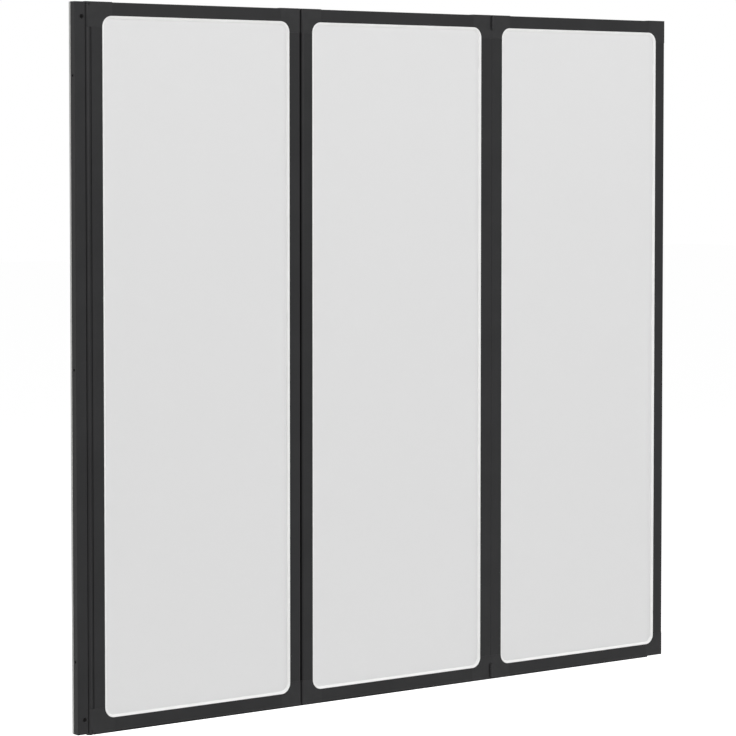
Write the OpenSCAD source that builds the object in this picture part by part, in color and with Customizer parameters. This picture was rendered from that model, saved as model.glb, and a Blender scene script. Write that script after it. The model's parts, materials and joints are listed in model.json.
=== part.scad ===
// Folding shower screen for a bath: three framed panels in one line that fold in a zigzag.
// The wall face is the plane X = 0 and the screen runs along +X. Its front faces -Y and +Z is up.
// Z = 0 is the lower end of the frame, and the bottom seal hangs below it.

/* [Overall] */
// Height of the frame without the bottom seal
frame_h = 1198.4; // [700:0.1:2000]
// Clear width of each window
window_w = 376.6; // [200:0.1:700]
// Thickness of the panels
panel_t = 18; // [17:0.5:24]

/* [Frame profiles] */
// Face width of the top and bottom rails
rail_face = 21.9; // [19:0.1:30]
// Face width of the stile next to the wall, without its barrel
wall_stile_face = 21.6; // [17:0.1:30]
// Distance from a window to the middle of the fold beside it
fold_stile_face = 24.15; // [22:0.05:32]
// Face width of the stile at the free end
end_stile_face = 21.7; // [17:0.1:30]
// Wall of the extruded profiles
profile_wall = 1.4; // [1:0.1:1.8]
// Radius of the long edges of the profiles
profile_edge_r = 0.8; // [0.3:0.1:1.2]

/* [Corner blocks] */
// Inner radius of the window corners
window_r = 18; // [12:0.5:40]
// Straight length of a corner block past the round corner
corner_land = 1; // [0.5:0.5:8]
// How far a corner block stands proud of the rail and of the free end
corner_proud = 0.7; // [0.3:0.1:1.2]
// Radius of the outer corner at the free end
corner_outer_r = 2; // [1:0.5:8]
// Radius of the outer edges of a corner block
block_edge_r = 0.8; // [0.3:0.1:1.2]
// Chamfer of a corner block round the window
block_chamfer = 0.6; // [0.3:0.1:1]
// Length of the tenons that plug into the profiles
tenon_len = 25; // [10:1:40]

/* [Glazing] */
// Thickness of the pane
pane_t = 4; // [3:0.5:5]
// How far the pane reaches into the frame
pane_bite = 6; // [4:0.5:6.5]
// How far the pane sits in front of the middle of the frame
pane_forward = 3; // [0:0.5:3.5]
// Width of the light bead on the pane
bead_w = 3.5; // [2:0.5:7]
// Depth of the bead's outer edge below the frame's face
bead_step = 0.8; // [0.3:0.1:2]
// Thickness of the bead at its inner edge
bead_lip = 1; // [0.5:0.1:2]
// Thickness of the glazing seal in the groove
seal_skin = 0.9; // [0.6:0.1:1.1]

/* [Folds] */
// Gap between two stiles on the side of the hinge
fold_gap = 0.3; // [0.3:0.1:0.8]
// Gap between two stiles on the other side
fold_open_gap = 2.4; // [2.2:0.2:5]
// Gap between two corner blocks on the open side
block_gap = 1.2; // [0.8:0.1:2]
// Thickness of the lip that narrows the gap at the hinge
fold_lip = 4; // [3:0.5:5]
// Radius of the stile's edge on the open side
fold_edge_r = 4; // [1:0.5:5]
// Distance of the hinge axis outside the panel's face
pivot_out = 0.6; // [0.4:0.1:1.5]
// Outer radius of the hinge knuckles
knuckle_r = 2.6; // [2.5:0.1:4]
// Length of the two outer knuckles
outer_knuckle = 7; // [5:0.5:10]
// Length of the middle knuckle
middle_knuckle = 8; // [6:0.5:11]
// Distance of the first knuckle from the end of the frame
knuckle_start = 2.2; // [2:0.1:4]
// Radius of the fold pins
fold_pin_r = 1.25; // [1:0.05:1.3]

/* [Bottom seal] */
// How far the bottom seal hangs below the frame
seal_drop = 3.4; // [1.8:0.1:6]
// Width of the bottom seal across the panel
seal_w = 9.6; // [8:0.2:12]
// Distance from the bottom seal to the free end
seal_end_inset = 32.5; // [10:1:60]
// Distance from the bottom seal to the end of the box next to the wall
seal_start_inset = 1; // [1:0.5:15]

/* [Wall profile] */
// Width of the wall profile seen from the front
wall_w = 19.8; // [19.8:0.1:30]
// Depth of the wall profile without the wall seal
wall_depth = 12.9; // [12.6:0.1:15]
// Thickness of its front flange
wall_front_t = 2.4; // [2.2:0.1:2.6]
// Thickness of its rear flange
wall_rear_t = 1.6; // [1.4:0.1:1.8]
// Thickness of the web against the wall
wall_web_t = 1.4; // [1.2:0.1:2]
// Radius of the holes for the wall screws
wall_hole_r = 2.25; // [2:0.05:3]
// Distance of the outer wall screws from the ends
wall_hole_inset = 120; // [60:1:250]
// Distance of the clamp screws from the ends
clamp_inset = 24; // [24:1:60]
// Distance of the clamp screws from the wall
clamp_x = 13.4; // [11:0.1:13.8]
// Width of the wall seal's foot
wall_seal_w = 8; // [6:0.5:12]

/* [Wall hinge] */
// Radius of the barrel on the stile next to the wall
barrel_r = 5.4; // [5.3:0.1:6.4]
// Gap between the wall profile and the barrel
barrel_gap = 0.5; // [0.5:0.1:2]
// Width of the groove between the barrel and the box of the stile
barrel_valley = 0.5; // [0.4:0.1:1]
// Depth of that groove
valley_depth = 1.5; // [1:0.1:3]
// Radius of the wall hinge pins
wall_pin_r = 2.5; // [2:0.1:2.6]
// Length of the wall hinge pins inside the panel
wall_pin_len = 20; // [10:1:26]

/* [Hidden] */
$fn = 48;
PANELS = 3;

// Clearances
over = 1;
seam = 0.1;
run_gap = 0.05;
slide_gap = 0.2;
fit_gap = 0.15;

// Across the thickness
front = -panel_t / 2;
rear = panel_t / 2;
pane_y = -pane_forward;

// Along the screen
axis_x = wall_w + barrel_gap + barrel_r;
axis_y = front + barrel_r;
axis_out = wall_stile_face + barrel_valley + barrel_r;
first_window = axis_x + axis_out;
pitch = window_w + 2 * fold_stile_face;
function window_left(i) = first_window + i * pitch;
function window_right(i) = window_left(i) + window_w;
function fold_x(i) = window_right(i) + fold_stile_face;

// Frame profiles: distances are measured outward from the edge of the window
groove_t = pane_t + 2 * (run_gap + seal_skin + run_gap);
groove_depth = pane_bite + run_gap + seal_skin + slide_gap;
chamber_from = groove_depth + profile_wall;
chamber_y = panel_t / 2 - profile_wall;
fold_open_face = fold_stile_face - fold_open_gap / 2;
fold_lip_face = fold_stile_face - fold_gap / 2;

// Slots of the fold seal and of the bottom seal
slot_lip = 1;
slot_head = 1.4;
slot_depth = slot_lip + slot_head;
slot_neck_w = 2.8;
slot_head_w = 5.2;
fold_chamber_to = fold_open_face - slot_depth - profile_wall;
bottom_chamber_to = rail_face - slot_depth - profile_wall;

// Corner blocks
block_in = window_r + corner_land;
profile_end = rail_face + block_in + seam;

// Fold hinges: spans are measured down from the end of the frame
knuckle_gap = 0.4;
first_span = [knuckle_start, knuckle_start + outer_knuckle];
middle_span = [first_span[1] + knuckle_gap, first_span[1] + knuckle_gap + middle_knuckle];
last_span = [middle_span[1] + knuckle_gap, middle_span[1] + knuckle_gap + outer_knuckle];
notch_r = knuckle_r + knuckle_gap;
fold_bush_r = fold_pin_r + run_gap + 0.5;
pin_head_r = fold_pin_r + 0.7;
pin_head_t = 1;

// Wall profile and adjusting profile
channel_front = front + wall_front_t;
channel_rear = front + wall_depth - wall_rear_t;
channel_y = (channel_front + channel_rear) / 2;
wall_edge_r = 1;
wall_groove_from = 3;
wall_groove_w = 2.2;
wall_groove_t = 0.8;
wall_seal_edge = 1;
wall_seal_nose = 1.2;
post_wall = 1.4;
post_from = 5;
post_to = wall_w - 0.3;
post_front = channel_front + slide_gap;
post_rear = channel_rear - slide_gap;
post_inner_front = post_front + post_wall;
post_inner_rear = post_rear - post_wall;
cap_t = 2;
cap_inset = 0.2;
cap_lug = 8;
post_end = cap_inset + cap_t + slide_gap;
clamp_shank_r = 2;
clamp_hole_r = clamp_shank_r + slide_gap;
clamp_sink = 2.2;
clamp_recess = 0.9;
clamp_key_r = 1.5;
clamp_key_depth = 1.2;
nut_w = 8;
nut_h = 12;
nut_t = 3;

// Wall hinge: depths are measured down from the end of the frame
nose_depth = 4.6;
bush_flange_t = 0.6;
bush_flange_r = 5;
socket_top = nose_depth + slide_gap + bush_flange_t;
wall_bush_r = wall_pin_r + run_gap + 0.85;
arm_depth = 9;
leg_depth = clamp_inset - nut_h / 2 - 1;
leg_reach = 4.8;
leg_from = clamp_x - leg_reach;
arm_y = [post_inner_front + slide_gap, post_inner_rear - slide_gap];
rivet_r = 1.6;
rivet_depth = (arm_depth + leg_depth) / 2;
foot_out = seal_drop - 1;
rear_lip_t = 2;
web_behind_axis = 2;
rear_lip_gap = 1.4;
rear_lip_out = axis_out + axis_x - wall_w - rear_lip_gap;

black = [0.23, 0.23, 0.23];
moulded = [0.19, 0.19, 0.19];
rubber = [0.12, 0.12, 0.12];
bead_grey = [0.93, 0.93, 0.93];
glass = [0.85, 0.87, 0.87];
steel = [0.68, 0.68, 0.70];
acetal = [0.16, 0.16, 0.16];

// Placing

// side is +1 to the right and -1 to the left
module facing(side) {
    if (side > 0) children();
    else mirror([1, 0, 0]) children();
}

// level is +1 at the top and -1 at the bottom: children have Z = 0 at the end of the frame, +Z outward
module at_end(level) {
    if (level > 0) translate([0, 0, frame_h]) children();
    else mirror([0, 0, 1]) children();
}

// Children have their origin on the corner of the window, +X and +Z outward
module at_corner(i, side, level) {
    at_end(level)
        translate([side > 0 ? window_right(i) : window_left(i), 0, -rail_face])
            facing(side) children();
}

// A profile drawn outward from the window runs up between the corner blocks
module upright(i, side) {
    translate([side > 0 ? window_right(i) : window_left(i), 0, profile_end])
        facing(side) linear_extrude(frame_h - 2 * profile_end) children();
}

// The same along the top or the bottom of a window
module crossbar(i, level, from, to) {
    at_end(level)
        translate([window_right(i) + to, 0, -rail_face])
            rotate([0, -90, 0]) linear_extrude(window_w + to - from) children();
}

// A shape drawn in X and Z, centred across the thickness
module standing(t) {
    translate([0, t / 2, 0]) rotate([90, 0, 0]) linear_extrude(t) children();
}

// Flat shapes

// Rectangle with its own radius at each corner, from the low corner anticlockwise
module round_box(low, high, radii) {
    corners = [low, [high.x, low.y], high, [low.x, high.y]];
    inward = [[1, 1], [-1, 1], [-1, -1], [1, -1]];
    difference() {
        translate(low) square(high - low);
        for (k = [0:3]) if (radii[k] > 0) translate(corners[k]) square(2 * radii[k], center = true);
    }
    for (k = [0:3]) if (radii[k] > 0) translate(corners[k] + radii[k] * inward[k]) circle(radii[k]);
}

// Slot for the foot of a seal: a narrow neck and a wide head, below the face at X = face
module seal_slot(face) {
    translate([face - slot_depth, -slot_head_w / 2]) square([slot_head, slot_head_w]);
    translate([face - slot_lip - over, -slot_neck_w / 2]) square([slot_lip + 2 * over, slot_neck_w]);
}

// Foot of a seal that fills such a slot
module seal_foot(face) {
    head_w = slot_head_w - 2 * fit_gap;
    translate([face - slot_depth + fit_gap, -head_w / 2]) square([slot_head - 2 * fit_gap, head_w]);
    neck_w = slot_neck_w - 2 * fit_gap;
    translate([face - slot_depth + 2 * fit_gap, -neck_w / 2]) square([slot_depth, neck_w]);
}

// Groove for the pane and the hollow chamber of a frame profile
module profile_voids(chamber_to) {
    translate([-over, pane_y - groove_t / 2]) square([groove_depth + over, groove_t]);
    translate([chamber_from, -chamber_y]) square([chamber_to - chamber_from, 2 * chamber_y]);
}

module rail_section(bottom) {
    difference() {
        round_box([0, front], [rail_face, rear], profile_edge_r * [1, 1, 1, 1]);
        profile_voids(bottom ? bottom_chamber_to : rail_face - profile_wall);
        if (bottom) seal_slot(rail_face);
    }
}

module end_section() {
    difference() {
        round_box([0, front], [end_stile_face, rear], profile_edge_r * [1, 2, 2, 1]);
        profile_voids(end_stile_face - profile_wall);
    }
}

// Outline beside a fold: round on the open side, with a lip on the side of the hinge.
// hinge_side is +1 where the fold hinges at the rear and -1 at the front
module fold_outline(hinge_side, from, open_face, edge_r) {
    mirror([0, hinge_side > 0 ? 0 : 1]) {
        round_box([from, front], [open_face, rear], [edge_r, fold_edge_r, 0, edge_r]);
        translate([open_face - over, rear - fold_lip])
            square([fold_lip_face - open_face + over, fold_lip]);
    }
}

module fold_section(hinge_side) {
    difference() {
        fold_outline(hinge_side, 0, fold_open_face, profile_edge_r);
        profile_voids(fold_chamber_to);
        seal_slot(fold_open_face);
    }
}

// Box, full-height barrel and rear lip of the stile next to the wall
module wall_section() {
    difference() {
        union() {
            round_box([0, front], [wall_stile_face, rear], profile_edge_r * [1, 1, 0, 1]);
            translate([axis_out, axis_y]) circle(barrel_r);
            translate([wall_stile_face - over, front + valley_depth])
                square([barrel_r + over, barrel_r + web_behind_axis - valley_depth]);
            translate([wall_stile_face - over, rear - rear_lip_t])
                square([rear_lip_out - wall_stile_face + over, rear_lip_t]);
        }
        translate([axis_out, axis_y]) circle(wall_bush_r);
        profile_voids(wall_stile_face - profile_wall);
    }
}

// Glazing seal, drawn round the middle of the pane: two legs in the groove and a sloping bead on each side
module glazing_section() {
    crest = panel_t / 2 - pane_forward - bead_step;
    slit = pane_t / 2 + run_gap;
    leg = slit + seal_skin;
    bottom = pane_bite + run_gap;
    half = [
        [bottom + seal_skin, 0],
        [bottom + seal_skin, leg],
        [-seam, leg],
        [-seam, crest],
        [-bead_w, slit + bead_lip],
        [-bead_w, slit],
        [bottom, slit],
        [bottom, 0]
    ];
    polygon(half);
    mirror([0, 1]) polygon(half);
}

// Bottom seal: foot, sole and three wiping fins
module bottom_seal_section() {
    sole = 0.9;
    fin = 1.2;
    seal_foot(rail_face);
    translate([rail_face + run_gap, -seal_w / 2]) square([sole, seal_w]);
    for (y = [-1, 0, 1])
        translate([rail_face + run_gap, y * (seal_w - fin) / 2 - fin / 2])
            square([seal_drop - run_gap, fin]);
}

// Fold seal: foot, sole and a soft bulb that reaches across the open gap
module fold_seal_section() {
    sole = 0.8;
    sole_w = slot_head_w + sole;
    bulb_r = (fold_open_gap - 0.4) / 2;
    seal_foot(fold_open_face);
    translate([fold_open_face + run_gap, -sole_w / 2]) square([sole, sole_w]);
    difference() {
        translate([fold_open_face + run_gap + bulb_r, 0]) circle(bulb_r);
        translate([fold_open_face + run_gap + bulb_r, 0]) circle(bulb_r - 0.6);
    }
}

// Corner blocks, drawn for the top right corner of a window

module window_corner(grow, t) {
    span = 2 * (block_in + window_r);
    standing(t)
        round_box([-span, -span], [grow, grow], [0, 0, window_r + grow, 0]);
}

// The tenons that hold the stile and the rail
module tenons(stile_to, rail_to) {
    tenon_y = chamber_y - fit_gap;
    from = chamber_from + fit_gap;
    translate([from, -tenon_y, -block_in - tenon_len])
        cube([stile_to - fit_gap - from, 2 * tenon_y, tenon_len + over]);
    translate([-block_in - tenon_len, -tenon_y, from])
        cube([tenon_len + over, 2 * tenon_y, rail_to - fit_gap - from]);
}

// Slot and channel of the bottom seal, up to the distance reach outward from the window
module bottom_slot(reach) {
    length = block_in + tenon_len + reach;
    translate([reach, 0, 0]) rotate([0, -90, 0]) linear_extrude(length) {
        seal_slot(rail_face);
        translate([rail_face, -seal_w / 2 - 0.2]) square([corner_proud + over, seal_w + 0.4]);
    }
}

// What the chamfer takes off round the window, on both faces
module chamfer_section() {
    for (side = [0, 1])
        mirror([0, side]) polygon([
            [-over, rear - block_chamfer],
            [0, rear - block_chamfer],
            [block_chamfer + over, rear + over],
            [-over, rear + over]
        ]);
}

module window_chamfer() {
    translate([-window_r, 0, -window_r]) rotate([90, 0, 0])
        rotate_extrude(angle = 90) translate([window_r, 0]) chamfer_section();
    translate([0, 0, -block_in - over]) linear_extrude(corner_land + over) chamfer_section();
    translate([-window_r, 0, 0]) rotate([0, -90, 0]) linear_extrude(corner_land + over) chamfer_section();
}

// Block around the corner of the window: the first child is its plan, the others are added to it
module corner_core(outer, outer_r, stile_to, level) {
    low = -block_in;
    top = rail_face + corner_proud;
    difference() {
        union() {
            intersection() {
                standing(panel_t) round_box([low, low], [outer, top], [0, 0, outer_r, 0]);
                translate([0, 0, low]) linear_extrude(top - low) children(0);
                translate([low, 0, 0]) rotate([90, 0, 90]) linear_extrude(outer - low)
                    round_box([front, low], [rear, top], block_edge_r * [0, 0, 1, 1]);
            }
            if ($children > 1) children([1:$children - 1]);
        }
        window_corner(0, panel_t + 2 * over);
        translate([0, pane_y, 0]) window_corner(groove_depth, groove_t);
        window_chamfer();
    }
    tenons(stile_to, level > 0 ? rail_face - profile_wall : bottom_chamber_to);
}

// A round post on the fold axis over a span measured down from the end of the frame
module on_fold_axis(hinge_side, span, r) {
    translate([fold_stile_face, hinge_side * (rear + pivot_out), rail_face - span[1]])
        cylinder(h = span[1] - span[0], r = r);
}

function widen(span) = [span[0] - knuckle_gap, span[1] + knuckle_gap];

// outer_knuckles is true on the panel that holds the pin
module fold_corner(hinge_side, level, outer_knuckles) {
    own = outer_knuckles ? [first_span, last_span] : [middle_span];
    above = [-corner_proud - over, knuckle_start];
    cleared = outer_knuckles ? [above, widen(middle_span)] : [above, widen(first_span), widen(last_span)];
    bore_r = outer_knuckles ? fold_pin_r + run_gap : fold_bush_r + run_gap;
    difference() {
        union() {
            corner_core(fold_lip_face, 0, fold_chamber_to, level)
                fold_outline(hinge_side, -block_in, fold_stile_face - block_gap / 2, 0);
            for (span = own) on_fold_axis(hinge_side, span, knuckle_r);
        }
        for (span = cleared) on_fold_axis(hinge_side, span, notch_r);
        on_fold_axis(hinge_side, [first_span[0] - over, last_span[1] + over], bore_r);
        if (level < 0) bottom_slot(fold_stile_face);
    }
}

module end_corner(level) {
    difference() {
        corner_core(end_stile_face + corner_proud, corner_outer_r, end_stile_face - profile_wall, level)
            round_box([-block_in, front], [end_stile_face + corner_proud, rear], block_edge_r * [0, 2, 2, 0]);
        if (level < 0) bottom_slot(end_stile_face - seal_end_inset + seam);
    }
}

// The corner block next to the wall has a round nose with the socket of the wall hinge
module wall_corner(level) {
    nose_len = block_in + rail_face - socket_top;
    difference() {
        corner_core(axis_out, 0, wall_stile_face - profile_wall, level) {
            translate([-block_in, front]) square([block_in + axis_out, panel_t]);
            translate([axis_out, axis_y, -block_in]) cylinder(h = nose_len, r = barrel_r);
            translate([axis_out - over, rear - rear_lip_t, -block_in])
                cube([rear_lip_out - axis_out + over, rear_lip_t, block_in + rail_face]);
        }
        translate([axis_out, axis_y, rail_face - socket_top])
            cylinder(h = socket_top + corner_proud + over, r = barrel_r + barrel_valley);
        translate([axis_out, axis_y, rail_face - socket_top - wall_pin_len])
            cylinder(h = wall_pin_len + over, r = wall_bush_r + run_gap);
        if (level < 0) bottom_slot(wall_stile_face - seal_start_inset + seam);
    }
}

// Wall profile and what is fixed to it

module clamp_place(level) {
    at_end(level) translate([clamp_x, front, -clamp_inset]) rotate([-90, 0, 0]) children();
}

module wall_profile() {
    wall_holes = [wall_hole_inset, frame_h / 2, frame_h - wall_hole_inset];
    color(black) difference() {
        linear_extrude(frame_h) difference() {
            round_box([0, front], [wall_w, front + wall_depth], wall_edge_r * [0.4, 1, 0.6, 0]);
            translate([wall_web_t, channel_front]) square([wall_w, channel_rear - channel_front]);
            translate([wall_groove_from, front + wall_depth - wall_groove_t])
                square([wall_groove_w, wall_groove_t + over]);
        }
        for (z = wall_holes)
            translate([-over, channel_y, z]) rotate([0, 90, 0]) cylinder(h = wall_web_t + 2 * over, r = wall_hole_r);
        for (level = [1, -1]) clamp_place(level) {
            cylinder(h = clamp_sink, r1 = clamp_hole_r + clamp_sink, r2 = clamp_hole_r);
            cylinder(h = wall_front_t + over, r = clamp_hole_r);
        }
    }
}

module wall_seal() {
    back = front + wall_depth;
    color(bead_grey) linear_extrude(frame_h) {
        polygon([
            [0, back + seam],
            [wall_seal_w, back + seam],
            [wall_seal_w, back + wall_seal_edge],
            [wall_seal_nose, rear],
            [0, rear]
        ]);
        translate([wall_groove_from + seam, back - wall_groove_t + seam])
            square([wall_groove_w - 2 * seam, wall_groove_t + over / 2]);
    }
}

module wall_cap(level) {
    color(moulded) at_end(level) translate([0, 0, -cap_inset - cap_t]) {
        width = channel_rear - channel_front - fit_gap;
        translate([wall_web_t + run_gap, channel_y - width / 2, 0])
            cube([wall_w - wall_web_t - run_gap, width, cap_t]);
        translate([wall_web_t + run_gap, channel_y - width / 2, -cap_lug])
            cube([post_from - slide_gap - wall_web_t - run_gap, width, cap_lug + over]);
    }
}

module clamp_screws() {
    shank = wall_front_t + 2 * post_wall + nut_t + slide_gap - clamp_recess;
    cone = clamp_sink - clamp_recess;
    color(moulded) for (level = [1, -1]) clamp_place(level)
        translate([0, 0, clamp_recess]) difference() {
            union() {
                cylinder(h = cone, r1 = clamp_shank_r + cone, r2 = clamp_shank_r);
                cylinder(h = shank, r = clamp_shank_r);
            }
            translate([0, 0, -over]) cylinder(h = clamp_key_depth + over, r = clamp_key_r, $fn = 6);
        }
}

module clamp_nuts() {
    color(steel) for (level = [1, -1]) clamp_place(level)
        translate([0, 0, post_inner_front + seam - front]) difference() {
            translate([-nut_w / 2, -nut_h / 2, 0]) cube([nut_w, nut_h, nut_t]);
            translate([0, 0, -over]) cylinder(h = nut_t + 2 * over, r = clamp_shank_r + run_gap);
        }
}

// Adjusting profile and the upper and lower pivots of the wall hinge

module rivet_place(level) {
    at_end(level) translate([clamp_x, post_front, -rivet_depth]) rotate([-90, 0, 0]) children();
}

module adjusting_profile() {
    color(black) difference() {
        translate([0, 0, post_end]) linear_extrude(frame_h - 2 * post_end) difference() {
            translate([post_from, post_front]) square([post_to - post_from, post_rear - post_front]);
            translate([post_from - over, post_inner_front])
                square([post_to - post_from - post_wall + over, post_inner_rear - post_inner_front]);
        }
        for (level = [1, -1]) {
            at_end(level) translate([post_to - post_wall - over, post_inner_front, -arm_depth - slide_gap])
                cube([post_wall + 2 * over, post_inner_rear - post_inner_front, arm_depth]);
            clamp_place(level) {
                translate([0, 0, wall_front_t]) cylinder(h = post_wall + 2 * slide_gap, r = clamp_hole_r);
                translate([post_from - clamp_x - over, -clamp_hole_r, wall_front_t])
                    cube([clamp_x - post_from + over, 2 * clamp_hole_r, post_wall + 2 * slide_gap]);
            }
            rivet_place(level) translate([0, 0, -over])
                cylinder(h = post_rear - post_front + 2 * over, r = rivet_r + run_gap);
        }
    }
}

// out is how far the round nose stands beyond the end of the frame
module pivot_bracket(level, out) {
    arm_w = arm_y[1] - arm_y[0];
    arm_to = wall_w + barrel_gap - 0.5;
    color(moulded) at_end(level) difference() {
        union() {
            translate([axis_x, axis_y, -nose_depth]) cylinder(h = nose_depth + out, r = barrel_r);
            translate([arm_to - 2 * over, arm_y[0], -nose_depth])
                cube([axis_x - arm_to + 2 * over, arm_w, nose_depth - post_end]);
            translate([post_from + slide_gap, arm_y[0], -arm_depth])
                cube([arm_to - post_from - slide_gap, arm_w, arm_depth - post_end]);
            translate([leg_from, arm_y[0], -leg_depth])
                cube([post_to - post_wall - slide_gap - leg_from, arm_w, leg_depth - arm_depth + over]);
        }
        translate([axis_x, axis_y, -nose_depth - over]) cylinder(h = nose_depth + over - 0.5, r = wall_pin_r);
        translate([clamp_x, arm_y[0] - over, -rivet_depth]) rotate([-90, 0, 0])
            cylinder(h = arm_w + 2 * over, r = rivet_r + run_gap);
    }
}

module bracket_rivets() {
    color(steel) for (level = [1, -1]) rivet_place(level)
        cylinder(h = post_rear - post_front, r = rivet_r);
}

module wall_hinge_pins() {
    top = 0.6;
    length = socket_top + wall_pin_len - bush_flange_t - top;
    color(steel) for (level = [1, -1]) at_end(level)
        translate([axis_x, axis_y, -top - length]) cylinder(h = length, r = wall_pin_r - 0.01);
}

module wall_hinge_bushes() {
    tube = wall_pin_len - slide_gap;
    color(acetal) for (level = [1, -1]) at_end(level)
        translate([axis_x, axis_y, -socket_top]) difference() {
            union() {
                cylinder(h = bush_flange_t, r = bush_flange_r);
                translate([0, 0, -tube]) cylinder(h = tube + 0.1, r = wall_bush_r);
            }
            translate([0, 0, -tube - over]) cylinder(h = tube + 2 * over, r = wall_pin_r + run_gap);
        }
}

// Parts of the panels

function hinge_side(fold) = fold == 0 ? 1 : -1;

module left_stile(i) {
    color(black) upright(i, -1) {
        if (i == 0) wall_section();
        else fold_section(hinge_side(i - 1));
    }
}

module right_stile(i) {
    color(black) upright(i, 1) {
        if (i == PANELS - 1) end_section();
        else fold_section(hinge_side(i));
    }
}

module rail(i, level) {
    color(black) crossbar(i, level, block_in + seam, -block_in - seam) rail_section(level < 0);
}

module corner(i, side, level) {
    color(moulded) at_corner(i, side, level) {
        if (side < 0 && i == 0) wall_corner(level);
        else if (side > 0 && i == PANELS - 1) end_corner(level);
        else fold_corner(hinge_side(side > 0 ? i : i - 1), level, side > 0);
    }
}

module pane(i) {
    low = [window_left(i) - pane_bite, rail_face - pane_bite];
    high = [window_right(i) + pane_bite, frame_h - rail_face + pane_bite];
    color(glass) translate([0, pane_y, 0]) standing(pane_t)
        round_box(low, high, (window_r + pane_bite) * [1, 1, 1, 1]);
}

module glazing_seal(i) {
    color(bead_grey) translate([0, pane_y, 0]) {
        for (side = [1, -1], level = [1, -1])
            at_corner(i, side, level) translate([-window_r, 0, -window_r])
                rotate([90, 0, 0]) rotate_extrude(angle = 90) translate([window_r, 0]) glazing_section();
        for (side = [1, -1])
            translate([side > 0 ? window_right(i) : window_left(i), 0, rail_face + window_r])
                facing(side) linear_extrude(frame_h - 2 * (rail_face + window_r)) glazing_section();
        for (level = [1, -1]) crossbar(i, level, window_r, -window_r) glazing_section();
    }
}

module bottom_seal(i) {
    from = i == 0 ? seal_start_inset - wall_stile_face : fold_gap - fold_stile_face;
    to = i == PANELS - 1 ? end_stile_face - seal_end_inset : fold_stile_face - fold_gap;
    color(rubber) crossbar(i, -1, from, to) bottom_seal_section();
}

// The pin with its head, held by the two outer knuckles
module fold_pins(fold) {
    head_from = knuckle_start - pin_head_t - run_gap;
    color(steel) for (level = [1, -1]) at_corner(fold, 1, level) {
        on_fold_axis(hinge_side(fold), [head_from, head_from + pin_head_t], pin_head_r);
        on_fold_axis(hinge_side(fold), [head_from + pin_head_t / 2, last_span[1]], fold_pin_r);
    }
}

module fold_bushes(fold) {
    color(acetal) for (level = [1, -1]) at_corner(fold, 1, level) difference() {
        on_fold_axis(hinge_side(fold), middle_span, fold_bush_r);
        on_fold_axis(hinge_side(fold), widen(middle_span), fold_pin_r + run_gap);
    }
}

module fold_seal(fold) {
    color(rubber) upright(fold + 1, -1) fold_seal_section();
}

wall_profile();
wall_seal();
wall_cap(1);  // wall_cap_top
wall_cap(-1);  // wall_cap_bottom
clamp_screws();
clamp_nuts();
adjusting_profile();
pivot_bracket(1, corner_proud);  // pivot_bracket_top
pivot_bracket(-1, foot_out);  // pivot_bracket_bottom
bracket_rivets();
wall_hinge_pins();
wall_hinge_bushes();
left_stile(0);  // left_stile_1
left_stile(1);  // left_stile_2
left_stile(2);  // left_stile_3
right_stile(0);  // right_stile_1
right_stile(1);  // right_stile_2
right_stile(2);  // right_stile_3
rail(0, 1);  // top_rail_1
rail(1, 1);  // top_rail_2
rail(2, 1);  // top_rail_3
rail(0, -1);  // bottom_rail_1
rail(1, -1);  // bottom_rail_2
rail(2, -1);  // bottom_rail_3
corner(0, -1, 1);  // corner_top_left_1
corner(1, -1, 1);  // corner_top_left_2
corner(2, -1, 1);  // corner_top_left_3
corner(0, 1, 1);  // corner_top_right_1
corner(1, 1, 1);  // corner_top_right_2
corner(2, 1, 1);  // corner_top_right_3
corner(0, -1, -1);  // corner_bottom_left_1
corner(1, -1, -1);  // corner_bottom_left_2
corner(2, -1, -1);  // corner_bottom_left_3
corner(0, 1, -1);  // corner_bottom_right_1
corner(1, 1, -1);  // corner_bottom_right_2
corner(2, 1, -1);  // corner_bottom_right_3
pane(0);  // pane_1
pane(1);  // pane_2
pane(2);  // pane_3
glazing_seal(0);  // glazing_seal_1
glazing_seal(1);  // glazing_seal_2
glazing_seal(2);  // glazing_seal_3
bottom_seal(0);  // bottom_seal_1
bottom_seal(1);  // bottom_seal_2
bottom_seal(2);  // bottom_seal_3
fold_seal(0);  // fold_seal_1
fold_seal(1);  // fold_seal_2
fold_pins(0);  // fold_pins_1
fold_pins(1);  // fold_pins_2
fold_bushes(0);  // fold_bushes_1
fold_bushes(1);  // fold_bushes_2
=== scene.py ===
import json
import math

import bmesh
import bpy
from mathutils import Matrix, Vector


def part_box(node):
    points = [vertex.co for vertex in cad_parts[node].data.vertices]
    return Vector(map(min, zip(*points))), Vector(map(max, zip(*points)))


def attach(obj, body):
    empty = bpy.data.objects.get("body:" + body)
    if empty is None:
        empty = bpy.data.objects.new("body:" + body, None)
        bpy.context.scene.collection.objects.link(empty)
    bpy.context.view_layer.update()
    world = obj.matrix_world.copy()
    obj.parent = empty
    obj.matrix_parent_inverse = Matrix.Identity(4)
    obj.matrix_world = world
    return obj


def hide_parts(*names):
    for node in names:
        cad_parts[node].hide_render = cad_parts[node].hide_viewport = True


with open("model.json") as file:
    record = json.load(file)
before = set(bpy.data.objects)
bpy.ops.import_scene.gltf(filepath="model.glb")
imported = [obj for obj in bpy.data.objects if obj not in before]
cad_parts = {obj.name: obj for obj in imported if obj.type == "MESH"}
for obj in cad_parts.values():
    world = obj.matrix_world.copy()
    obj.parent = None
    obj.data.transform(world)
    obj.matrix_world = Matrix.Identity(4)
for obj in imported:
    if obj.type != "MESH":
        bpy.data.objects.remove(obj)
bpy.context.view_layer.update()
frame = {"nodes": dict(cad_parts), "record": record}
nodes = frame["nodes"]
mm = 0.001
creaseAngle = math.radians(40)  # a sharper turn than this between two faces is an edge


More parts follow.
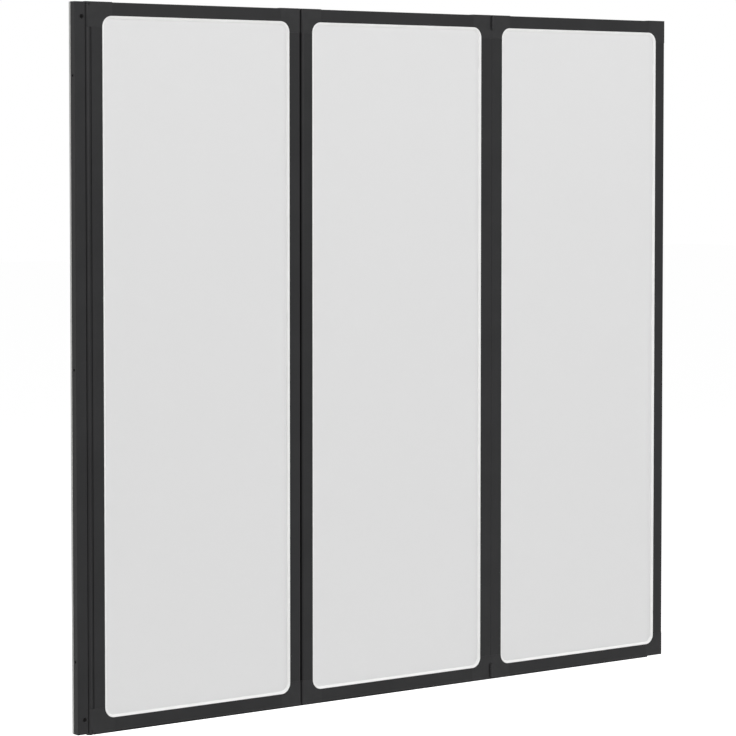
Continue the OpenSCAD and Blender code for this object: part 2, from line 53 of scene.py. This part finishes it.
def hexToLinear(code):
    channels = [int(code[i:i + 2], 16) / 255 for i in (1, 3, 5)]
    return [c / 12.92 if c <= 0.04045 else ((c + 0.055) / 1.055) ** 2.4 for c in channels] + [1.0]


# Settings are the node's own attributes or values of its inputs, and links bring sockets to inputs
def addNode(tree, kind, settings, links=None):
    node = tree.nodes.new(kind)
    for name, value in settings.items():
        if isinstance(name, str) and hasattr(node, name):
            setattr(node, name, value)
        else:
            node.inputs[name].default_value = value
    for name, socket in (links or {}).items():
        tree.links.new(socket, node.inputs[name])
    return node


def newMaterial(name):
    material = bpy.data.materials.new(name)
    material.use_nodes = True
    material.node_tree.nodes.clear()
    return material, material.node_tree


# Patterns lie in the object's own space, so they stay on a piece that moves
def patternSpace(tree):
    return addNode(tree, "ShaderNodeTexCoord", {}).outputs["Object"]


# The last step of each finish: one pattern drifts its colour between two tones, one shifts its
# roughness, and the relief of its skin bends the light on it.
def finishSkin(tree, look, tonePattern, wearPattern, relief, settings):
    reach = {"toneStops": (0.35, 0.65), "low": 0.3, "high": 0.7}  # what noise mostly spans
    tone = addNode(tree, "ShaderNodeValToRGB", {}, {"Fac": tonePattern.outputs["Fac"]})
    for stop, position, colour in zip(tone.color_ramp.elements, reach["toneStops"], look["tones"]):
        stop.position = position
        stop.color = hexToLinear(colour)
    smoothest, roughest = look["roughness"]
    wear = addNode(tree, "ShaderNodeMapRange",
                   {"From Min": reach["low"], "From Max": reach["high"],
                    "To Min": smoothest, "To Max": roughest},
                   {"Value": wearPattern.outputs["Fac"]})
    skin = addNode(tree, "ShaderNodeBsdfPrincipled", settings,
                   {"Base Color": tone.outputs["Color"], "Roughness": wear.outputs["Result"],
                    "Normal": relief.outputs["Normal"]})
    addNode(tree, "ShaderNodeOutputMaterial", {}, {"Surface": skin.outputs["BSDF"]})


# Aluminium extrusion, chromated and powder coated in satin black. The powder melts into a skin with
# a slight orange peel, so highlights on it are soft and a little uneven, and its grey drifts
# slightly. The die's fine lines along the profile show faintly through it.
def powderCoatedAluminium(along):
    look = {"tones": ("#1E1E1F", "#222223"), "drift": 60 * mm, "driftDetail": 3.0,
            "peel": 1.3 * mm, "peelDetail": 1.5, "peelGrit": 0.4, "peelDepth": 0.025 * mm,
            "peelShows": 0.6, "dieLine": 0.9 * mm, "dieDetail": 1.0, "dieStretch": 0.004,
            "dieDepth": 0.004 * mm, "dieShows": 0.35, "roughness": (0.42, 0.52), "ior": 1.5,
            "gloss": 0.19}
    material, tree = newMaterial("powderCoatedAluminium" + along)
    place = patternSpace(tree)
    drift = addNode(tree, "ShaderNodeTexNoise",
                    {"Scale": 1 / look["drift"], "Detail": look["driftDetail"]}, {"Vector": place})
    peel = addNode(tree, "ShaderNodeTexNoise",
                   {"Scale": 1 / look["peel"], "Detail": look["peelDetail"],
                    "Roughness": look["peelGrit"]},
                   {"Vector": place})
    stretch = {"Z": (1, 1, look["dieStretch"]), "X": (look["dieStretch"], 1, 1)}[along]
    drawn = addNode(tree, "ShaderNodeMapping", {"Scale": stretch}, {"Vector": place})
    dieLines = addNode(tree, "ShaderNodeTexNoise",
                       {"Scale": 1 / look["dieLine"], "Detail": look["dieDetail"]},
                       {"Vector": drawn.outputs["Vector"]})
    metal = addNode(tree, "ShaderNodeBump",
                    {"Strength": look["dieShows"], "Distance": look["dieDepth"]},
                    {"Height": dieLines.outputs["Fac"]})
    coat = addNode(tree, "ShaderNodeBump",
                   {"Strength": look["peelShows"], "Distance": look["peelDepth"]},
                   {"Height": peel.outputs["Fac"], "Normal": metal.outputs["Normal"]})
    finishSkin(tree, look, drift, peel, coat,
               {"IOR": look["ior"], "Specular IOR Level": look["gloss"]})
    return material


# Glass-filled nylon, injection moulded in an eroded mould: an even fine grain, a touch duller than
# the powder coat beside it, with faint cloudy patches where the fibres come near the surface.
def mouldedNylonBlack():
    look = {"tones": ("#1E1E1F", "#222223"), "cloud": 14 * mm, "cloudDetail": 4.0,
            "grain": 0.45 * mm, "grainDetail": 2.0, "grainDepth": 0.02 * mm, "grainShows": 0.5,
            "roughness": (0.48, 0.58), "ior": 1.53, "gloss": 0.21}
    material, tree = newMaterial("mouldedNylonBlack")
    place = patternSpace(tree)
    cloud = addNode(tree, "ShaderNodeTexNoise",
                    {"Scale": 1 / look["cloud"], "Detail": look["cloudDetail"]}, {"Vector": place})
    grain = addNode(tree, "ShaderNodeTexNoise",
                    {"Scale": 1 / look["grain"], "Detail": look["grainDetail"]}, {"Vector": place})
    relief = addNode(tree, "ShaderNodeBump",
                     {"Strength": look["grainShows"], "Distance": look["grainDepth"]},
                     {"Height": grain.outputs["Fac"]})
    finishSkin(tree, look, cloud, grain, relief,
               {"IOR": look["ior"], "Specular IOR Level": look["gloss"]})
    return material


# Toughened glass, satin etched and backed with an opal film: a little daylight passes but no view,
# so the pane reads as an even pale grey with a soft sheen and slight waves from the toughening.
def satinGlass():
    look = {"tones": ("#E6E6E6", "#E8E8E8"), "etch": 0.8 * mm, "etchDetail": 2.0,
            "wave": 180 * mm, "waveDetail": 1.0, "waveDepth": 0.05 * mm, "waveShows": 0.2,
            "roughness": (0.34, 0.40), "ior": 1.5, "lightThrough": 0.18}
    material, tree = newMaterial("satinGlass")
    place = patternSpace(tree)
    etch = addNode(tree, "ShaderNodeTexNoise",
                   {"Scale": 1 / look["etch"], "Detail": look["etchDetail"]}, {"Vector": place})
    wave = addNode(tree, "ShaderNodeTexNoise",
                   {"Scale": 1 / look["wave"], "Detail": look["waveDetail"]}, {"Vector": place})
    relief = addNode(tree, "ShaderNodeBump",
                     {"Strength": look["waveShows"], "Distance": look["waveDepth"]},
                     {"Height": wave.outputs["Fac"]})
    finishSkin(tree, look, etch, etch, relief,
               {"IOR": look["ior"], "Transmission Weight": look["lightThrough"]})
    return material


# Plasticised PVC, extruded: soft, with a dull waxy sheen, and it lets a little light in. The
# glazing beads are off-white, and the seal at the wall is a greyer grade.
def softPvcPale(name, tones):
    look = {"tones": tones, "cloud": 25 * mm, "cloudDetail": 3.0,
            "drag": 0.5 * mm, "dragDetail": 1.0, "dragDepth": 0.01 * mm, "dragShows": 0.4,
            "roughness": (0.42, 0.55), "ior": 1.53, "glow": 0.15, "glowDepth": 1.5 * mm,
            "glowColour": (1, 1, 1)}
    material, tree = newMaterial(name)
    place = patternSpace(tree)
    cloud = addNode(tree, "ShaderNodeTexNoise",
                    {"Scale": 1 / look["cloud"], "Detail": look["cloudDetail"]}, {"Vector": place})
    drag = addNode(tree, "ShaderNodeTexNoise",
                   {"Scale": 1 / look["drag"], "Detail": look["dragDetail"]}, {"Vector": place})
    relief = addNode(tree, "ShaderNodeBump",
                     {"Strength": look["dragShows"], "Distance": look["dragDepth"]},
                     {"Height": drag.outputs["Fac"]})
    finishSkin(tree, look, cloud, drag, relief,
               {"IOR": look["ior"], "Subsurface Weight": look["glow"],
                "Subsurface Radius": look["glowColour"], "Subsurface Scale": look["glowDepth"]})
    return material


# The same PVC with carbon black, for the seals below the rails and in the folds: matt and darker
# than the frame, with chalky marks from handling.
def softPvcBlack():
    look = {"tones": ("#151516", "#1B1B1C"), "chalk": 9 * mm, "chalkDetail": 5.0,
            "drag": 0.6 * mm, "dragDetail": 1.0, "dragDepth": 0.015 * mm, "dragShows": 0.4,
            "roughness": (0.62, 0.75), "ior": 1.53, "gloss": 0.15}
    material, tree = newMaterial("softPvcBlack")
    place = patternSpace(tree)
    chalk = addNode(tree, "ShaderNodeTexNoise",
                    {"Scale": 1 / look["chalk"], "Detail": look["chalkDetail"]}, {"Vector": place})
    drag = addNode(tree, "ShaderNodeTexNoise",
                   {"Scale": 1 / look["drag"], "Detail": look["dragDetail"]}, {"Vector": place})
    relief = addNode(tree, "ShaderNodeBump",
                     {"Strength": look["dragShows"], "Distance": look["dragDepth"]},
                     {"Height": drag.outputs["Fac"]})
    finishSkin(tree, look, chalk, chalk, relief,
               {"IOR": look["ior"], "Specular IOR Level": look["gloss"]})
    return material


# Drawn stainless steel for pins, rivets and nuts: bright, with faint marks along it from the die.
def drawnStainless():
    look = {"tones": ("#A9A9AB", "#BDBDBF"), "mark": 0.3 * mm, "markDetail": 2.0,
            "markStretch": 0.05, "markDepth": 0.006 * mm, "markShows": 0.4,
            "roughness": (0.24, 0.38)}
    material, tree = newMaterial("drawnStainless")
    drawn = addNode(tree, "ShaderNodeMapping", {"Scale": (1, 1, look["markStretch"])},
                    {"Vector": patternSpace(tree)})
    marks = addNode(tree, "ShaderNodeTexNoise",
                    {"Scale": 1 / look["mark"], "Detail": look["markDetail"]},
                    {"Vector": drawn.outputs["Vector"]})
    relief = addNode(tree, "ShaderNodeBump",
                     {"Strength": look["markShows"], "Distance": look["markDepth"]},
                     {"Height": marks.outputs["Fac"]})
    finishSkin(tree, look, marks, marks, relief, {"Metallic": 1.0})
    return material


# Steel blackened in hot salts for the clamp screws and fold pins: a thin dark oxide with a dull
# metal gleam and browner patches.
def blackenedSteel():
    look = {"tones": ("#141414", "#1E1D1D"), "patch": 1.6 * mm, "patchDetail": 4.0,
            "patchDepth": 0.01 * mm, "patchShows": 0.3, "roughness": (0.34, 0.5)}
    material, tree = newMaterial("blackenedSteel")
    patch = addNode(tree, "ShaderNodeTexNoise",
                    {"Scale": 1 / look["patch"], "Detail": look["patchDetail"]},
                    {"Vector": patternSpace(tree)})
    relief = addNode(tree, "ShaderNodeBump",
                     {"Strength": look["patchShows"], "Distance": look["patchDepth"]},
                     {"Height": patch.outputs["Fac"]})
    finishSkin(tree, look, patch, patch, relief, {"Metallic": 1.0})
    return material


# Black acetal, turned from rod for the bushes: smoother and glossier than the moulded blocks.
def turnedAcetal():
    look = {"tones": ("#1A1A1B", "#202021"), "cloud": 2.5 * mm, "cloudDetail": 3.0,
            "cloudDepth": 0.01 * mm, "cloudShows": 0.3, "roughness": (0.30, 0.40), "ior": 1.48}
    material, tree = newMaterial("turnedAcetal")
    cloud = addNode(tree, "ShaderNodeTexNoise",
                    {"Scale": 1 / look["cloud"], "Detail": look["cloudDetail"]},
                    {"Vector": patternSpace(tree)})
    relief = addNode(tree, "ShaderNodeBump",
                     {"Strength": look["cloudShows"], "Distance": look["cloudDepth"]},
                     {"Height": cloud.outputs["Fac"]})
    finishSkin(tree, look, cloud, cloud, relief, {"IOR": look["ior"]})
    return material


# Which finish a piece takes, by how its name starts. The die's lines run up the stiles and along
# the rails.
finishes = {
    ("left_stile", "right_stile", "wall_profile", "adjusting_profile"): powderCoatedAluminium("Z"),
    ("top_rail", "bottom_rail"): powderCoatedAluminium("X"),
    ("corner", "wall_cap", "pivot_bracket"): mouldedNylonBlack(),
    ("pane_",): satinGlass(),
    ("glazing_seal",): softPvcPale("softPvcOffWhite", ("#EEEEED", "#F3F3F2")),
    ("wall_seal",): softPvcPale("softPvcPaleGrey", ("#CECECC", "#D4D4D2")),
    ("bottom_seal", "fold_seal"): softPvcBlack(),
    ("wall_hinge_pins", "bracket_rivets", "clamp_nuts"): drawnStainless(),
    ("clamp_screws", "fold_pins"): blackenedSteel(),
    ("wall_hinge_bushes", "fold_bushes"): turnedAcetal(),
}
print("materials made:", len(finishes))


def finishOf(name):
    return next(finish for starts, finish in finishes.items() if name.startswith(starts))


# Powder and moulding leave no knife edge, so each hard piece is eased along its sharp edges. The
# panes are held in their seals, and the seals are replaced below.
easing = {"weld": 0.002 * mm, "segments": 2, "large": 0.3 * mm, "small": 0.12 * mm,
          "smallPieces": ("pins", "screws", "nuts", "rivets", "bushes"),
          "leftSharp": ("pane", "seal")}


def easeEdges(node, width):
    weld = node.modifiers.new("weld", "WELD")
    weld.merge_threshold = easing["weld"]
    ease = node.modifiers.new("ease", "BEVEL")
    ease.width = width
    ease.segments = easing["segments"]
    ease.limit_method = "ANGLE"
    ease.angle_limit = creaseAngle


for name, node in nodes.items():
    node.data.materials.clear()
    node.data.materials.append(finishOf(name))
    if not any(word in name for word in easing["leftSharp"]):
        small = any(word in name for word in easing["smallPieces"])
        easeEdges(node, easing["small" if small else "large"])
print("frame dressed:", len(nodes), "nodes")


bodyOf = {}
for body, members in frame["record"]["behaviour"]["bodies"].items():
    bodyOf.update({name: body for name in members})
right, rear, up = Vector((1, 0, 0)), Vector((0, 1, 0)), Vector((0, 0, 1))


# Seals: each is one soft section, in millimetres, pushed along its stations. A station is a point
# with the two directions that the section's measures run in.
def pushSection(name, section, stations, node):
    shape = bmesh.new()
    rings = []
    for spot, first, second in stations:
        rings.append([shape.verts.new(spot + (first * u + second * v) * mm) for u, v in section])
    for here, there in zip(rings, rings[1:]):
        for k in range(len(section)):
            after = (k + 1) % len(section)
            shape.faces.new((here[k], here[after], there[after], there[k]))
    shape.faces.new(rings[0])
    shape.faces.new(rings[-1])
    bmesh.ops.recalc_face_normals(shape, faces=shape.faces)
    mesh = bpy.data.meshes.new(name)
    shape.to_mesh(mesh)
    shape.free()
    mesh.shade_smooth()
    mesh.set_sharp_from_angle(angle=creaseAngle)
    mesh.materials.append(finishOf(node))
    seal = bpy.data.objects.new(name, mesh)
    bpy.context.scene.collection.objects.link(seal)
    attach(seal, bodyOf[node])
    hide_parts(node)


# Points along an ellipse round a centre, from one angle to another in degrees
def arc(centre, radii, start, end, steps):
    turns = [math.radians(start + (end - start) * k / steps) for k in range(steps + 1)]
    return [(centre[0] + radii[0] * math.cos(a), centre[1] + radii[1] * math.sin(a)) for a in turns]


# The glazing bead wraps the edge of the pane. On both faces its crown leans down to a thin edge on
# the pane. Its cut ends meet in the middle of the top rail. The section's measures run from the
# window's edge into the frame, and from the middle of the pane to the front.
def glazingBead(number):
    bead = {"width": 4.8, "crest": 5.5, "nose": 2.2, "lean": 0.35, "crownSteps": 12,
            "undercut": 0.1, "shoulder": 0.35, "shoulderSteps": 4, "gap": 0.1, "leg": 2.95,
            "slit": 2.05, "bottom": 6.05, "skin": 0.9, "turn": 18, "turnSteps": 12, "cut": 0.08}
    node = "glazing_seal_%d" % number
    low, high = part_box(node)
    inset = (bead["bottom"] + bead["skin"]) * mm
    left, base = low.x + inset, low.z + inset
    end, top = high.x - inset, high.z - inset
    depth = (low.y + high.y) / 2

    shoulder = bead["shoulder"]
    brow = -bead["gap"] - shoulder
    rise = bead["crest"] - bead["nose"]
    front = [(bead["bottom"] + bead["skin"], bead["leg"]), (-bead["gap"], bead["leg"])]
    front += arc((brow, bead["crest"] - shoulder), (shoulder, shoulder), 0, 90,
                 bead["shoulderSteps"])
    for step in range(1, bead["crownSteps"] + 1):
        part = step / bead["crownSteps"]
        front.append((brow - (bead["width"] + brow) * part,
                      bead["nose"] + rise * (1 - part ** 2) * (1 - bead["lean"] * part)))
    front += [(-bead["width"] + bead["undercut"], bead["slit"]), (bead["bottom"], bead["slit"])]
    section = front + [(u, -v) for u, v in reversed(front)]

    turn = bead["turn"] * mm
    middle, cut = (left + end) / 2, bead["cut"] * mm
    corners = [(left + turn, top - turn, 90), (left + turn, base + turn, 180),
               (end - turn, base + turn, 270), (end - turn, top - turn, 0)]
    stations = [(Vector((middle - cut, depth, top)), up, -rear)]
    for x, z, start in corners:
        for across, along in arc((0, 0), (1, 1), start, start + 90, bead["turnSteps"]):
            outward = Vector((across, 0, along))
            stations.append((Vector((x, depth, z)) + outward * turn, outward, -rear))
    stations.append((Vector((middle + cut, depth, top)), up, -rear))
    pushSection("glazingBead%d" % number, section, stations, node)


# The bottom seal: a barbed foot in the rail's slot, a sole, and three lips that wipe the bath rim.
# One side of the section is given, from the middle of the foot out and down to the middle lip.
def bottomWiper(number):
    wiper = {"foot": 2.25, "footHalf": 1.5, "barb": 2.45, "barbEdge": 0.3, "catch": 1.15,
             "neck": 1.25, "sole": -0.05, "under": -0.95, "half": 4.8, "drop": -3.4,
             "shoulder": 0.45, "shoulderSteps": 4, "lip": 0.4, "lipIn": 0.5, "lipSteps": 6,
             "root": 0.4, "outerRootIn": 1.75, "innerRoot": 1.05, "rootSteps": 3,
             "middleHalf": 0.42, "middleTip": 0.35, "middleSteps": 4}
    shoulder, lip, root = wiper["shoulder"], wiper["lip"], wiper["root"]
    half = [(0, wiper["foot"]), (wiper["footHalf"], wiper["foot"]),
            (wiper["barb"], wiper["catch"] + wiper["barbEdge"]), (wiper["barb"], wiper["catch"]),
            (wiper["neck"], wiper["catch"]), (wiper["neck"], wiper["sole"])]
    half += arc((wiper["half"] - shoulder, wiper["sole"] - shoulder), (shoulder, shoulder), 90, 0,
                wiper["shoulderSteps"])
    half += arc((wiper["half"] - wiper["lipIn"], wiper["drop"] + lip), (lip, lip), 0, -180,
                wiper["lipSteps"])
    half += arc((wiper["half"] - wiper["outerRootIn"], wiper["under"] - root), (root, root), 0, 90,
                wiper["rootSteps"])
    half += arc((wiper["innerRoot"], wiper["under"] - root), (root, root), 90, 180,
                wiper["rootSteps"])
    half += arc((0, wiper["drop"] + wiper["middleTip"]),
                (wiper["middleHalf"], wiper["middleTip"]), 0, -90, wiper["middleSteps"])
    section = half[1:] + [(-u, v) for u, v in reversed(half[1:-1])]
    node = "bottom_seal_%d" % number
    low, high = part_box(node)
    stations = [(Vector((x, 0, 0)), rear, up) for x in (low.x, high.x)]
    pushSection("bottomWiper%d" % number, section, stations, node)


# The seal at the wall: a tongue in the profile, three shallow ribs on the wall face and a soft rear
# lip with a hollow back. The section's measures run away from the wall, and to the rear.
def wallStrip():
    strip = {"back": 4.0, "width": 8, "wallBevel": (0.2, 4.2), "outerBevel": (7.7, 4.3),
             "edge": 4.9, "tongue": (3.1, 5.1), "tongueEnd": 3.2, "lip": 9.6, "hollow": 6.4,
             "hollowSteps": 8, "tip": 0.7, "tipMiddle": 0.9, "tipSteps": 6,
             "ribs": (8.1, 6.7, 5.3), "rib": 0.35, "ribFoot": 0.45, "ribCrest": 0.15}
    tongueNear, tongueFar = strip["tongue"]
    tipHeight = strip["lip"] - strip["tip"]
    section = [(0, strip["wallBevel"][1]), (strip["wallBevel"][0], strip["back"]),
               (tongueNear, strip["back"]), (tongueNear, strip["tongueEnd"]),
               (tongueFar, strip["tongueEnd"]), (tongueFar, strip["back"]),
               (strip["outerBevel"][0], strip["back"]), (strip["width"], strip["outerBevel"][1]),
               (strip["width"], strip["edge"])]
    section += arc((strip["width"], tipHeight), (strip["hollow"], tipHeight - strip["edge"]),
                   270, 180, strip["hollowSteps"])[1:]
    section += arc((strip["tipMiddle"], tipHeight), (strip["tip"], strip["tip"]), 0, 180,
                   strip["tipSteps"])
    for y in strip["ribs"]:
        section += [(0.0, y + strip["ribFoot"]), (strip["rib"], y + strip["ribCrest"]),
                    (strip["rib"], y - strip["ribCrest"]), (0.0, y - strip["ribFoot"])]
    low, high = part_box("wall_seal")
    stations = [(Vector((0, 0, z)), right, rear) for z in (low.z, high.z)]
    pushSection("wallStrip", section, stations, "wall_seal")


# The fold seal: a foot in the stile and a D-shaped bulb that fills the open fold. One side of the
# section is given, from the foot in the stile out to the top of the bulb.
def foldBulb(number):
    bulb = {"head": 2.45, "foot": 1.1, "neck": 1.25, "sole": 2.3, "half": 3.0, "bulbFoot": 3.1,
            "corner": 0.4, "step": 0.2, "cornerSteps": 3, "round": 2.2, "top": 4.3,
            "roundFrom": 85, "roundTo": 5, "roundSteps": 9}
    cornerIn = bulb["bulbFoot"] - bulb["corner"]
    half = [(0, bulb["head"]), (bulb["foot"], bulb["head"]), (bulb["foot"], bulb["neck"]),
            (bulb["sole"], bulb["neck"]), (bulb["sole"], bulb["half"]), (cornerIn, bulb["half"])]
    half += arc((cornerIn, bulb["round"]),
                (bulb["corner"], bulb["half"] - bulb["round"] - bulb["step"]), 90, 0,
                bulb["cornerSteps"])
    half += arc((bulb["bulbFoot"], 0), (bulb["top"] - bulb["bulbFoot"], bulb["round"]),
                bulb["roundFrom"], bulb["roundTo"], bulb["roundSteps"])
    section = half + [(u, -v) for u, v in reversed(half)]
    node = "fold_seal_%d" % number
    low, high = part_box(node)
    stations = [(Vector((high.x, 0, z)), -right, rear) for z in (low.z, high.z)]
    pushSection("foldBulb%d" % number, section, stations, node)


for number in (1, 2, 3):
    glazingBead(number)
    bottomWiper(number)
for number in (1, 2):
    foldBulb(number)
wallStrip()
print("seals pushed into place")


# Studio: a pale floor some way below the screen, which hangs on its wall side, and soft light from
# all round. What is seen behind the screen, straight or in gloss or through glass, is white. The
# light that falls on the screen is lower.
def seenDirectly(tree):
    rays = addNode(tree, "ShaderNodeLightPath", {})
    seen = addNode(tree, "ShaderNodeMath", {"operation": "MAXIMUM"},
                   {0: rays.outputs["Is Camera Ray"], 1: rays.outputs["Is Glossy Ray"]})
    through = addNode(tree, "ShaderNodeMath", {"operation": "MAXIMUM"},
                      {0: seen.outputs["Value"], 1: rays.outputs["Is Transmission Ray"]})
    return through.outputs["Value"]


def studioFloor():
    floor = {"height": -0.56, "size": 60.0, "colour": "#F4F4F4", "lift": 0.61}
    half = floor["size"] / 2
    outline = [(-half, -half, 0), (half, -half, 0), (half, half, 0), (-half, half, 0)]
    mesh = bpy.data.meshes.new("studioFloor")
    mesh.from_pydata(outline, [], [range(len(outline))])
    plane = bpy.data.objects.new("studioFloor", mesh)
    bpy.context.scene.collection.objects.link(plane)
    plane.location.z = floor["height"]
    material, tree = newMaterial("paintedStudioFloor")
    paint = addNode(tree, "ShaderNodeBsdfDiffuse", {"Color": hexToLinear(floor["colour"])})
    lift = addNode(tree, "ShaderNodeMath", {"operation": "MULTIPLY", 1: floor["lift"]},
                   {0: seenDirectly(tree)})
    glow = addNode(tree, "ShaderNodeEmission", {}, {"Strength": lift.outputs["Value"]})
    both = addNode(tree, "ShaderNodeAddShader", {},
                   {0: paint.outputs["BSDF"], 1: glow.outputs["Emission"]})
    addNode(tree, "ShaderNodeOutputMaterial", {}, {"Surface": both.outputs["Shader"]})
    mesh.materials.append(material)


def studioWorld():
    sky = {"colour": "#FFFFFF", "light": 0.42, "seen": 1.0}
    world = bpy.data.worlds.new("studio")
    world.use_nodes = True
    tree = world.node_tree
    tree.nodes.clear()
    strength = addNode(tree, "ShaderNodeMapRange", {"To Min": sky["light"], "To Max": sky["seen"]},
                       {"Value": seenDirectly(tree)})
    back = addNode(tree, "ShaderNodeBackground", {"Color": hexToLinear(sky["colour"])},
                   {"Strength": strength.outputs["Result"]})
    addNode(tree, "ShaderNodeOutputWorld", {}, {"Surface": back.outputs["Background"]})
    bpy.context.scene.world = world


# Square soft boxes, in metres and watts, all turned to the middle of the screen
softBoxes = {
    "keyLight": {"place": (-1.6, -2.4, 3.5), "side": 2.4, "power": 24},
    "frontLight": {"place": (0.8, -5.5, 2.8), "side": 3.0, "power": 107},
    "fillLight": {"place": (2.8, -2.6, 3.4), "side": 2.4, "power": 38},
    "rearLight": {"place": (0.6, 3.6, 2.6), "side": 2.4, "power": 80},
}
screenMiddle = Vector((0.65, 0, 0.6))


def hangSoftBox(name, box):
    lamp = bpy.data.lights.new(name, "AREA")
    lamp.shape = "RECTANGLE"
    lamp.size = lamp.size_y = box["side"]
    lamp.energy = box["power"]
    holder = bpy.data.objects.new(name, lamp)
    bpy.context.scene.collection.objects.link(holder)
    holder.location = box["place"]
    towards = screenMiddle - Vector(box["place"])
    holder.rotation_euler = towards.to_track_quat("-Z", "Y").to_euler()


studioFloor()
studioWorld()
for name, box in softBoxes.items():
    hangSoftBox(name, box)
print("studio lit")

# The camera stands to the left, at four fifths of the screen's height. It looks down by its dip and
# by a lens shift, so that the uprights stay nearly upright, as in the photograph, and the other
# views keep the screen in the picture. The place is in metres, angles are in degrees, and the lens
# and the film are in millimetres.
camera = {"place": (-2.5760, -4.1492, 0.9636), "heading": 37.4767, "dip": 2.8461, "lens": 146.221,
          "film": 36, "rise": -0.0992, "farthest": 200}
eye = bpy.data.cameras.new("photoCamera")
eye.lens = camera["lens"]
eye.sensor_width = camera["film"]
eye.shift_y = camera["rise"]
eye.clip_end = camera["farthest"]
photoCamera = bpy.data.objects.new("photoCamera", eye)
bpy.context.scene.collection.objects.link(photoCamera)
photoCamera.location = camera["place"]
photoCamera.rotation_euler = (math.radians(90 - camera["dip"]), 0, -math.radians(camera["heading"]))
bpy.context.scene.camera = photoCamera
bpy.context.scene.view_settings.view_transform = "Standard"
print("camera set")
